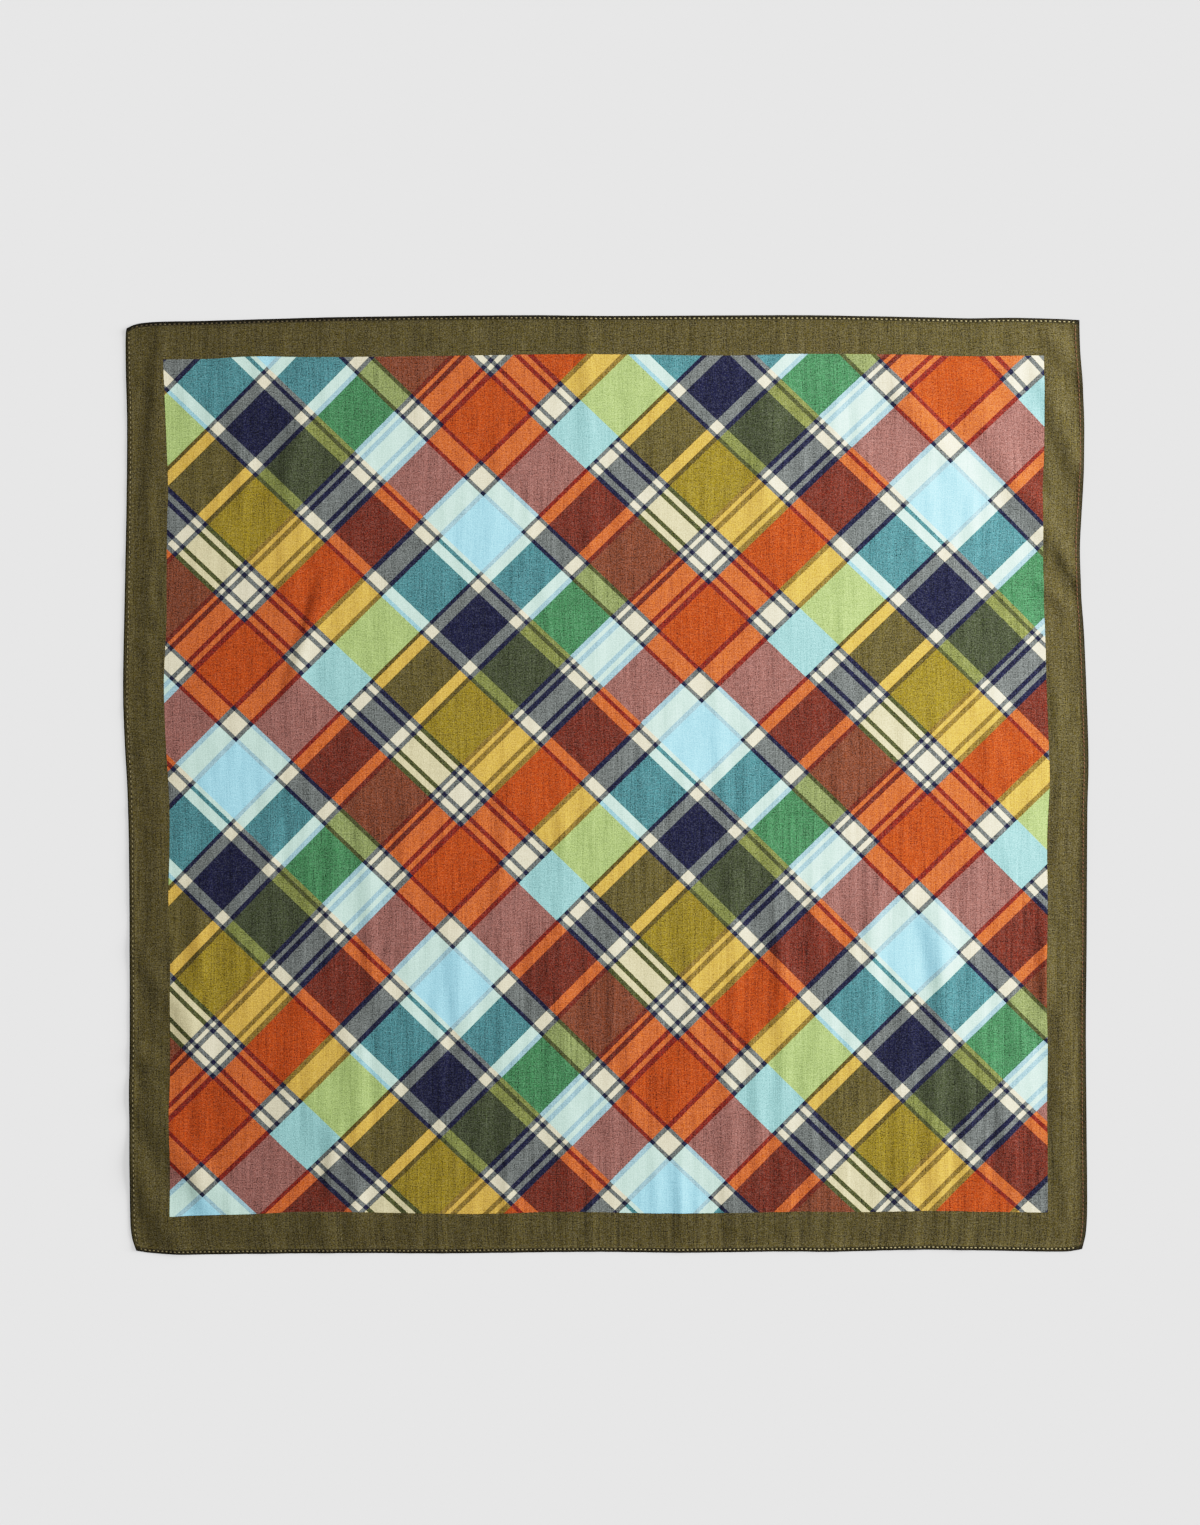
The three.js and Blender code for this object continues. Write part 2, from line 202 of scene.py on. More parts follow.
# ---- dyes and the sett -----------------------------------------------------------
# As each dye looks in the middle of the cloth, sRGB.
DYES = dict(
    border=(91, 82, 49), navy=(37, 39, 66), grey=(118, 123, 121), cream=(228, 223, 201),
    mint=(208, 230, 222), sky=(177, 224, 237), aqua=(163, 210, 210), ice=(165, 209, 217),
    peri=(171, 204, 213), teal=(85, 141, 147), green=(78, 138, 93), forest=(73, 80, 58),
    pine=(85, 90, 54), mauve=(158, 108, 100), maroon=(119, 55, 43), brown=(131, 74, 53),
    orange=(206, 110, 57), rust=(187, 81, 30), wine=(135, 47, 36), oxblood=(116, 50, 38),
    yellow=(217, 184, 89), mustard=(154, 134, 47), olive=(103, 93, 53), tan=(147, 121, 57),
    umber=(103, 89, 45), leaf=(178, 199, 129), moss=(148, 161, 102), fern=(135, 142, 79),
    pale=(220, 213, 177),
)

# Across: the stripes of one repeat, their kind and width in mm. p, q, m and n
# are the thin lines, c the light ones, and N, G, O, B the broad blocks.
ACROSS = [
    ("p", 2.241), ("c", 6.092), ("N", 24.425), ("c", 5.919), ("q", 2.644), ("G", 30.344),
    ("m", 2.529), ("c", 2.126), ("m", 2.874), ("c", 10.287), ("n", 2.644), ("c", 2.644),
    ("n", 3.161), ("O", 29.827), ("n", 2.874), ("c", 10.804), ("n", 2.759), ("B", 30.229),
]
# Down: the stripes of one repeat, the kind of each and its width in mm.
DOWN = [
    ("first line", 2.241), ("blue block", 32.298), ("light by blue", 2.356),
    ("line by blue", 2.356), ("light by blue", 5.517), ("navy block", 31.666),
    ("light by blue", 5.919), ("line by yellow", 2.241), ("yellow block", 37.988),
    ("line", 2.644), ("light", 2.874), ("line", 2.644), ("light", 10.000), ("line", 2.529),
    ("light", 3.276), ("line", 2.644), ("orange block", 38.390), ("first line", 2.241),
    ("last light", 9.885),
]
# The colour each kind of down stripe gives where it crosses each kind across.
CROSS = {
    "first line": dict(p="navy", q="navy", m="navy", n="navy", c="grey", N="navy", G="pine", O="wine", B="peri"),
    "blue block": dict(p="peri", q="peri", m="peri", n="peri", c="mint", N="teal", G="green", O="mauve", B="sky"),
    "light by blue": dict(p="grey", q="grey", m="grey", n="grey", c="cream", N="grey", G="fern", O="orange", B="mint"),
    "line by blue": dict(p="navy", q="navy", m="navy", n="navy", c="grey", N="navy", G="pine", O="wine", B="teal"),
    "navy block": dict(p="navy", q="navy", m="navy", n="navy", c="grey", N="navy", G="forest", O="maroon", B="teal"),
    "line by yellow": dict(p="navy", q="navy", m="navy", n="navy", c="grey", N="navy", G="pine", O="wine", B="ice"),
    "yellow block": dict(p="umber", q="umber", m="tan", n="tan", c="yellow", N="olive", G="mustard", O="rust", B="leaf"),
    "line": dict(p="navy", q="navy", m="navy", n="navy", c="grey", N="navy", G="pine", O="wine", B="aqua"),
    "light": dict(p="grey", q="grey", m="grey", n="grey", c="cream", N="grey", G="pale", O="orange", B="aqua"),
    "orange block": dict(p="wine", q="oxblood", m="oxblood", n="wine", c="orange", N="maroon", G="brown", O="rust", B="mauve"),
    "last light": dict(p="grey", q="grey", m="grey", n="grey", c="cream", N="grey", G="moss", O="orange", B="mint"),
}
REPEAT_ACROSS = sum(w for _, w in ACROSS)
REPEAT_DOWN = sum(w for _, w in DOWN)


# How the cloth lies in the sett, in mm: bias directions with the slow drift of
# soft cloth. Powers of x / 275 and y / 269, then the way across and down.
DRIFT = [
    # x, y, across, down
    (0, 0, 139.18, 74.31), (1, 0, 192.56, -190.29), (0, 1, -191.93, -193.26),
    (2, 0, -3.47, -2.94), (1, 1, -1.64, -0.74), (0, 2, -3.34, -8.06),
    (3, 0, 3.64, 2.25), (2, 1, -4.42, 2.47), (1, 2, 8.20, -4.60), (0, 3, -0.97, 0.67),
    (4, 0, 0.74, -0.14), (3, 1, 1.01, -0.02), (2, 2, 1.09, 4.76), (1, 3, 1.55, 1.33),
    (0, 4, 1.90, 6.45), (5, 0, -1.51, -3.52), (4, 1, 4.41, -4.28), (3, 2, -3.81, 3.68),
    (2, 3, -2.10, 3.22), (1, 4, -7.73, 4.35), (0, 5, 0.81, -1.85),
]


def plaid_place(x, y):
    """Where a point of the lying cloth falls in the sett, in mm both ways."""
    p, q = x / 275.0, y / 269.0
    s = sum(a * p ** i * q ** j for i, j, a, _ in DRIFT)
    t = sum(b * p ** i * q ** j for i, j, _, b in DRIFT)
    return s, t


# ---- shape of the sheet ------------------------------------------------------------
def along(table, at):
    """Smooth curve through the rows of a table."""
    rows = sorted(table)
    p = np.array([r[0] for r in rows], float)
    v = np.array([r[1] for r in rows], float)
    last = len(rows) - 1
    lo = np.maximum(np.arange(last + 1) - 1, 0)
    hi = np.minimum(np.arange(last + 1) + 1, last)
    slope = (v[hi] - v[lo]) / (p[hi] - p[lo])
    at = np.asarray(at, float)
    i = np.clip(np.searchsorted(p, at, side="right") - 1, 0, last - 1)
    step = p[i + 1] - p[i]
    t = np.clip((at - p[i]) / step, 0, 1)
    t2, t3 = t * t, t * t * t
    return ((2 * t3 - 3 * t2 + 1) * v[i] + (t3 - 2 * t2 + t) * step * slope[i]
            + (3 * t2 - 2 * t3) * v[i + 1] + (t3 - t2) * step * slope[i + 1])


def mix(a, b, t):
    return a + (b - a) * t


def left_point(t):
    y = mix(LEFT_SIDE[0][0], LEFT_SIDE[-1][0], t)
    return -HALF_WIDTH - along(LEFT_SIDE, y), y


def right_point(t):
    y = mix(RIGHT_SIDE[0][0], RIGHT_SIDE[-1][0], t)
    return HALF_WIDTH + along(RIGHT_SIDE, y), y


def top_point(s):
    x = mix(TOP_SIDE[0][0], TOP_SIDE[-1][0], s)
    return x, HALF_HEIGHT + along(TOP_SIDE, x)


def bottom_point(s):
    x = mix(BOTTOM_SIDE[0][0], BOTTOM_SIDE[-1][0], s)
    return x, -HALF_HEIGHT - along(BOTTOM_SIDE, x)


def place(s, t):
    """Place in the sheet: s runs left to right, t top to bottom."""
    s, t = np.asarray(s, float), np.asarray(t, float)
    l, r, u, d = left_point(t), right_point(t), top_point(s), bottom_point(s)
    lu, ru, ld, rd = left_point(0), right_point(0), left_point(1), right_point(1)
    return [mix(l[i], r[i], s) + mix(u[i], d[i], t)
            - mix(mix(lu[i], ru[i], s), mix(ld[i], rd[i], s), t) for i in (0, 1)]


def ridges(x, y, rows):
    """Sum of soft ridges at these points."""
    z = np.zeros_like(x)
    grid = x.ndim == 2
    for cx, cy, half, wide, lean, high in rows:
        a = math.radians(lean)
        ux, uy = math.sin(a), math.cos(a)
        part = ...
        if grid:      # only the lines of the sheet that it can reach
            rx = half * abs(ux) + wide / 2 + 8
            ry = half * abs(uy) + wide / 2 + 8
            i = np.searchsorted(x[len(x) // 2], (cx - rx, cx + rx))
            j = np.searchsorted(-y[:, y.shape[1] // 2], (-cy - ry, -cy + ry))
            part = (slice(*j), slice(*i))
        dx, dy = x[part] - cx, y[part] - cy
        if dx.size == 0:
            continue
        run = np.minimum(np.abs(dx * ux + dy * uy) / half, 1)
        off = np.minimum(np.abs(dx * uy - dy * ux) / (wide / 2), 1)
        ends = np.clip((1 - run) / 0.6, 0, 1)
        z[part] += high * np.cos(off * math.pi / 2) ** 2 * np.sin(ends * math.pi / 2) ** 2
    return z


def creases(x, y):
    """Lift of the sharper creases at these points."""
    z = np.zeros_like(x)
    for c in CREASES:
        pts = np.array(c["crest"], float)
        seg = np.linalg.norm(np.diff(pts, axis=0), axis=1)
        upto = np.concatenate([[0], np.cumsum(seg)])
        best = np.full(x.shape, 1e9)
        side, along_it = np.zeros(x.shape), np.zeros(x.shape)
        for (ax, ay), (bx, by), length, before in zip(pts[:-1], pts[1:], seg, upto):
            tx, ty = (bx - ax) / length, (by - ay) / length
            run = np.clip((x - ax) * tx + (y - ay) * ty, 0, length)
            dx, dy = x - ax - run * tx, y - ay - run * ty
            far = np.hypot(dx, dy)
            closer = far < best
            best = np.where(closer, far, best)
            side = np.where(closer, dy * tx - dx * ty, side)
            along_it = np.where(closer, before + run, along_it)
        foot = np.where(side > 0, c["lit"], c["dark"])
        share = np.sin(np.clip(np.minimum(along_it, upto[-1] - along_it) / (0.3 * upto[-1]), 0, 1) * math.pi / 2) ** 2
        z += c["high"] * share * np.cos(np.clip(best / foot, 0, 1) * math.pi / 2) ** 2
    return z


def ripples():
    """Fine ripples of soft cotton, placed by a fixed draw: upright, closer and deeper in the lower half."""
    draw = np.random.default_rng(41)
    rows = []
    for _ in range(1500):
        x, y = draw.uniform(-272, 272), draw.uniform(-266, 266)
        deep = 0.62 + 0.62 / (1 + math.exp((y + 10) / 25)) + 0.35 * (x > 120) * (y > 80) + 0.3 * (x < -150) * (y > 60)
        wide = draw.uniform(7, 13)
        rows.append((x, y, draw.uniform(16, 70), wide, draw.normal(0, 3), deep * draw.uniform(0.03, 0.27) * wide / 9))
    for _ in range(190):      # shorter waves across the borders
        side = draw.integers(0, 4)
        at, inw = draw.uniform(-262, 262), draw.uniform(2, 24)
        if side < 2:
            rows.append((at, (-1, 1)[side] * (HALF_HEIGHT - inw), draw.uniform(9, 22), draw.uniform(7, 13), draw.normal(0, 8), draw.uniform(0.10, 0.34)))
        else:
            rows.append(((-1, 1)[side - 2] * (HALF_WIDTH - inw), at, draw.uniform(9, 26), draw.uniform(7, 14), draw.normal(-25, 20), draw.uniform(0.08, 0.30)))
    return rows


def sheet_lines(half, cells):
    hem = [h["inw"] for h in HEM]
    inner = 2 * half - 2 * hem[-1]
    line = hem[:-1] + [hem[-1] + inner * i / cells for i in range(cells + 1)]
    return np.array(line + [2 * half - h for h in reversed(hem[:-1])])


def hem_face(key, inwards):
    return np.interp(inwards, [h["inw"] for h in HEM], [h[key] for h in HEM])


def stitch_step(name):
    """Where a side's stitches start and their exact pitch."""
    long = 2 * (HALF_HEIGHT if name in ("left", "right") else HALF_WIDTH)
    count = int((long - 2 * STITCH_FIRST) / STITCHES[name][2])
    return STITCH_FIRST, (long - 2 * STITCH_FIRST) / count


def make_cloth(shift):
    across = sheet_lines(HALF_WIDTH, CELLS_X)
    down = sheet_lines(HALF_HEIGHT, CELLS_Y)
    nx, ny = len(across), len(down)
    u, v = np.meshgrid(across, down)                   # v runs down the sheet
    x, y = place(u / (2 * HALF_WIDTH), v / (2 * HALF_HEIGHT))
    in_x = np.minimum(u, 2 * HALF_WIDTH - u)
    in_y = np.minimum(v, 2 * HALF_HEIGHT - v)
    inwards = np.minimum(in_x, in_y)

    lift = ridges(x, y, FOLDS) + ridges(x, y, ripples()) + creases(x, y)
    # Where two hems cross there is one roll more.
    hem_x, hem_y = hem_face("top", in_x) - CLOTH, hem_face("top", in_y) - CLOTH
    both = np.maximum(hem_x, hem_y) + 0.75 * np.minimum(hem_x, hem_y) * (in_x > 0.1) * (in_y > 0.1)
    turn = np.sin(u / 3.7 + 0.8 * np.sin(v / 5.1)) * (in_y < 4) + np.sin(v / 3.5 + 0.9 * np.sin(u / 6.3)) * (in_x < 4)
    uneven = 1 + 0.10 * turn * (inwards < 3.7)
    top = lift + CLOTH + both * uneven
    # Inside the hem the coarser underside keeps below every line of the face.
    low = lift.copy()
    for dj in (-1, 0, 1):
        for di in (-1, 0, 1):
            low[1:-1, 1:-1] = np.minimum(low[1:-1, 1:-1], lift[1 + dj:ny - 1 + dj, 1 + di:nx - 1 + di])
    low = np.maximum(np.where(inwards > HEM[-1]["inw"] + 0.1, low, lift), 0)
    under = low + hem_face("under", inwards)

    n = nx * ny
    co = np.empty((2 * n, 3))
    co[:n] = np.stack([x.ravel(), y.ravel(), top.ravel()], 1)
    co[n:] = np.stack([x.ravel(), y.ravel(), under.ravel()], 1)

    def at(layer, i, j):
        return layer * n + j * nx + i

    faces = []
    i, j = np.meshgrid(np.arange(nx - 1), np.arange(ny - 1))
    i, j = i.ravel(), j.ravel()
    faces += np.stack([at(0, i, j), at(0, i, j + 1), at(0, i + 1, j + 1), at(0, i + 1, j)], 1).tolist()
    # Underside: as fine as the top along the hem, twice as coarse inside it.
    h = len(HEM) - 1
    rim = (i < h) | (i >= nx - 1 - h) | (j < h) | (j >= ny - 1 - h)
    a, b = i[rim], j[rim]
    faces += np.stack([at(1, a, b), at(1, a + 1, b), at(1, a + 1, b + 1), at(1, a, b + 1)], 1).tolist()
    for b in range(h, ny - 1 - h, 2):
        for a in range(h, nx - 1 - h, 2):
            ring = [at(1, a, b)]
            if b == h:
                ring.append(at(1, a + 1, b))
            ring.append(at(1, a + 2, b))
            if a + 2 == nx - 1 - h:
                ring.append(at(1, a + 2, b + 1))
            ring.append(at(1, a + 2, b + 2))
            if b + 2 == ny - 1 - h:
                ring.append(at(1, a + 1, b + 2))
            ring.append(at(1, a, b + 2))
            if a == h:
                ring.append(at(1, a, b + 1))
            faces.append(ring)
    for a in range(nx - 1):
        faces.append([at(1, a, 0), at(0, a, 0), at(0, a + 1, 0), at(1, a + 1, 0)])
        faces.append([at(1, a + 1, ny - 1), at(0, a + 1, ny - 1), at(0, a, ny - 1), at(1, a, ny - 1)])
    for b in range(ny - 1):
        faces.append([at(1, 0, b + 1), at(0, 0, b + 1), at(0, 0, b), at(1, 0, b)])
        faces.append([at(1, nx - 1, b), at(0, nx - 1, b), at(0, nx - 1, b + 1), at(1, nx - 1, b + 1)])

    used = np.zeros(2 * n, bool)
    used[np.array([k for f in faces for k in f])] = True
    new = np.cumsum(used) - 1
    faces = [[int(new[k]) for k in f] for f in faces]
    keep = np.flatnonzero(used)

    mesh = bpy.data.meshes.new("bandana_cloth")
    place_m = (co[keep] + [shift[0], shift[1], 0]) * MM
    mesh.from_pydata(place_m.tolist(), [], faces)
    mesh.polygons.foreach_set("use_smooth", np.ones(len(mesh.polygons), bool))

    layer = (keep >= n).astype(float)
    cell = keep % n
    px, py = x.ravel()[cell], y.ravel()[cell]
    pu, pv = u.ravel()[cell], v.ravel()[cell]
    s, t = plaid_place(px, py)

    def give(name, *columns):
        a = mesh.attributes.new(name, "FLOAT_VECTOR", "POINT")
        a.data.foreach_set("vector", np.stack(columns, 1).astype(np.float32).ravel())

    give("plaid", s + 20 * REPEAT_ACROSS, t + 20 * REPEAT_DOWN, layer)
    give("panel_lr", px - along(PANEL_LEFT, py), along(PANEL_RIGHT, py) - px, inwards.ravel()[cell])
    give("panel_tb", along(PANEL_TOP, px) - py, py - along(PANEL_BOTTOM, px), np.where(in_x.ravel()[cell] < in_y.ravel()[cell], pv, pu))
    give("yarn", pu, pv, layer)
    # On the nearest side: count of stitches passed, and the way in from their line.
    far_u, far_v = 2 * HALF_WIDTH - pu, 2 * HALF_HEIGHT - pv
    near_side = np.argmin(np.stack([pu, pv, far_u, far_v]), 0)
    passed, off_line = np.zeros(len(pu)), np.zeros(len(pu))
    for k, (name, way) in enumerate([("left", pv), ("top", pu), ("right", pv), ("bottom", pu)]):
        first, step = stitch_step(name)
        on = near_side == k
        passed[on] = (way[on] - first) / step
        off_line[on] = inwards.ravel()[cell][on] - STITCHES[name][0]
    give("stitched", passed, off_line, layer)

    # One map for the whole piece: the face large, the underside small beside it.
    loops = np.empty(len(mesh.loops), np.int32)
    mesh.loops.foreach_get("vertex_index", loops)
    start = np.empty(len(mesh.polygons), np.int32)
    total = np.empty(len(mesh.polygons), np.int32)
    mesh.polygons.foreach_get("loop_start", start)
    mesh.polygons.foreach_get("loop_total", total)
    lay = layer[loops]
    face_under = np.add.reduceat(lay, start) / total
    which = np.repeat(face_under, total)
    lu, lv = pu[loops], 2 * HALF_HEIGHT - pv[loops]
    uv = np.empty((len(loops), 2))
    wide = 2 * HALF_WIDTH + 4
    face = which < 0.75
    # The rim's wall runs a little outside the face.
    out_u = np.where(lu < 0.01, -1.2, np.where(lu > 2 * HALF_WIDTH - 0.01, 1.2, 0)) * lay
    out_v = np.where(lv < 0.01, -1.2, np.where(lv > 2 * HALF_HEIGHT - 0.01, 1.2, 0)) * lay
    k = 0.655 / wide
    uv[:, 0] = np.where(face, 0.005 + (lu + out_u + 2) * k, 0.672 + lu * 0.32 / wide)
    uv[:, 1] = np.where(face, 0.005 + (lv + out_v + 2) * k, 0.01 + lv * 0.32 / wide)
    uv[:, 0] = np.where(face, (uv[:, 0]), uv[:, 0])
    uv_layer = mesh.uv_layers.new(name="OFBake", do_init=False)
    uv_layer.uv.foreach_set("vector", uv.astype(np.float32).ravel())
    mesh.validate()
    mesh.update()
    obj = bpy.data.objects.new("bandana_cloth", mesh)
    bpy.context.scene.collection.objects.link(obj)
    return obj, dict(across=across, down=down, lift=lift)


# ---- hem stitches --------------------------------------------------------------------
def make_stitches(shift):
    """The line of machine stitches along the hem, each a small arc of thread."""
    draw = np.random.default_rng(7)
    rows_all = FOLDS + ripples()
    co, faces, tint, warm = [], [], [], []
    sides = 6
    for name, (inw, wander, pitch, colour) in STITCHES.items():
        long = 2 * (HALF_HEIGHT if name in ("left", "right") else HALF_WIDTH)
        first, step = stitch_step(name)
        count = round((long - 2 * first) / step)
        at = first + (np.arange(count) + 0.5) * step
        phase = draw.uniform(0, 6.28, 3)
        off = inw + wander * (0.6 * np.sin(at / 47 + phase[0]) + 0.4 * np.sin(at / 19 + phase[1])) + draw.normal(0, 0.05, count)
        for m, o in zip(at, off):
            length = draw.uniform(0.44, 0.56) * pitch * (1.6 if name == "right" else 1.0)
            skew = draw.normal(0, 0.07)
            steps = np.linspace(-0.5, 0.5, 7)
            e = m + steps * length
            w = o + skew * steps * 2
            if name == "left":
                u, v = w, e
            elif name == "right":
                u, v = 2 * HALF_WIDTH - w, e
            elif name == "top":
                u, v = e, w
            else:
                u, v = e, 2 * HALF_HEIGHT - w
            x, y = place(u / (2 * HALF_WIDTH), v / (2 * HALF_HEIGHT))
            ground = ridges(x, y, near_rows(rows_all, x[3], y[3])) + creases(x, y) + hem_face("top", w)
            z = ground + 0.13 - 1.35 * np.abs(steps) ** 3 * 2.0
            path = np.stack([x, y, z], 1)
            base = len(co)
            run = np.gradient(path, axis=0)
            run /= np.linalg.norm(run, axis=1)[:, None]
            right = np.cross(run, [0, 0, 1.0])
            right /= np.linalg.norm(right, axis=1)[:, None]
            up = np.cross(right, run)
            thick = 0.25 * np.array([0.55, 0.9, 1.0, 1.0, 1.0, 0.9, 0.55])
            for k in range(7):
                for q in range(sides):
                    a = 2 * math.pi * q / sides
                    co.append(path[k] + thick[k] * (math.cos(a) * right[k] * 1.15 + math.sin(a) * up[k] * 0.85))
            for k in range(6):
                for q in range(sides):
                    r = (q + 1) % sides
                    faces.append([base + k * sides + q, base + k * sides + r, base + (k + 1) * sides + r, base + (k + 1) * sides + q])
            faces.append([base + q for q in reversed(range(sides))])
            faces.append([base + 6 * sides + q for q in range(sides)])
            share = colour
            if name == "top":
                share = float(np.clip((m - 90) / 400, 0.04, 0.60))
            if name == "bottom":
                share = float(np.clip((m - 20) / 500, 0.34, 0.72))
            value = np.clip(share + draw.normal(0, 0.06), 0, 1)
            tint += [value] * (7 * sides)
            warm += [float(name == "right")] * (7 * sides)
    mesh = bpy.data.meshes.new("hem_stitches")
    mesh.from_pydata(((np.array(co) + [shift[0], shift[1], 0]) * MM).tolist(), [], faces)
    mesh.polygons.foreach_set("use_smooth", np.ones(len(mesh.polygons), bool))
    for key_name, values in (("tint", tint), ("warm", warm)):
        a = mesh.attributes.new(key_name, "FLOAT", "POINT")
        a.data.foreach_set("value", np.array(values, np.float32))
    mesh.validate()
    mesh.update()
    obj = bpy.data.objects.new("hem_stitches", mesh)
    bpy.context.scene.collection.objects.link(obj)
    return obj


def near_rows(rows, x, y):
    return [r for r in rows if abs(r[0] - x) < r[2] + r[3] and abs(r[1] - y) < r[2] + r[3]]


# ---- shader helpers --------------------------------------------------------------------
class Net:
    def __init__(self, tree):
        self.tree = tree
        tree.nodes.clear()

    def node(self, kind, **set_):
        n = self.tree.nodes.new(kind)
        for k, v in set_.items():
            setattr(n, k, v)
        return n

    def put(self, socket, value):
        if isinstance(value, bpy.types.NodeSocket):
            self.tree.links.new(value, socket)
        else:
            socket.default_value = value

    def math(self, op, a, b=None, c=None, clamp=False):
        n = self.node("ShaderNodeMath", operation=op, use_clamp=clamp)
        for k, value in enumerate((a, b, c)):
            if value is not None:
                self.put(n.inputs[k], value)
        return n.outputs[0]

    def vector(self, op, a, b=None, scale=None):
        n = self.node("ShaderNodeVectorMath", operation=op)
        self.put(n.inputs[0], a)
        if b is not None:
            self.put(n.inputs[1], b)
        if scale is not None:
            self.put(n.inputs["Scale"], scale)
        return n.outputs[0]

    def mix(self, share, a, b, blend="MIX"):
        n = self.node("ShaderNodeMix", data_type="RGBA", blend_type=blend, clamp_factor=True)
        self.put(n.inputs[0], share)
        self.put(n.inputs[6], a)
        self.put(n.inputs[7], b)
        return n.outputs[2]

    def blend(self, share, a, b):
        n = self.node("ShaderNodeMix", data_type="FLOAT", clamp_factor=True)
        self.put(n.inputs[0], share)
        self.put(n.inputs[2], a)
        self.put(n.inputs[3], b)
        return n.outputs[0]

    def attribute(self, name):
        return self.node("ShaderNodeAttribute", attribute_type="GEOMETRY", attribute_name=name)

    def split(self, vector):
        n = self.node("ShaderNodeSeparateXYZ")
        self.put(n.inputs[0], vector)
        return n.outputs

    def join(self, x, y, z=0.0):
        n = self.node("ShaderNodeCombineXYZ")
        for k, value in enumerate((x, y, z)):
            self.put(n.inputs[k], value)
        return n.outputs[0]

    def noise(self, vector, scale=1.0, detail=2.0, rough=0.5):
        n = self.node("ShaderNodeTexNoise", noise_dimensions="3D", normalize=True)
        self.put(n.inputs["Vector"], vector)
        n.inputs["Scale"].default_value = scale
        n.inputs["Detail"].default_value = detail
        n.inputs["Roughness"].default_value = rough
        return n.outputs[0]

    def smooth(self, value, low, high, to_low=0.0, to_high=1.0):
        n = self.node("ShaderNodeMapRange", interpolation_type="SMOOTHSTEP", clamp=True)
        self.put(n.inputs[0], value)
        for k, v in zip((1, 2, 3, 4), (low, high, to_low, to_high)):
            n.inputs[k].default_value = v
        return n.outputs[0]


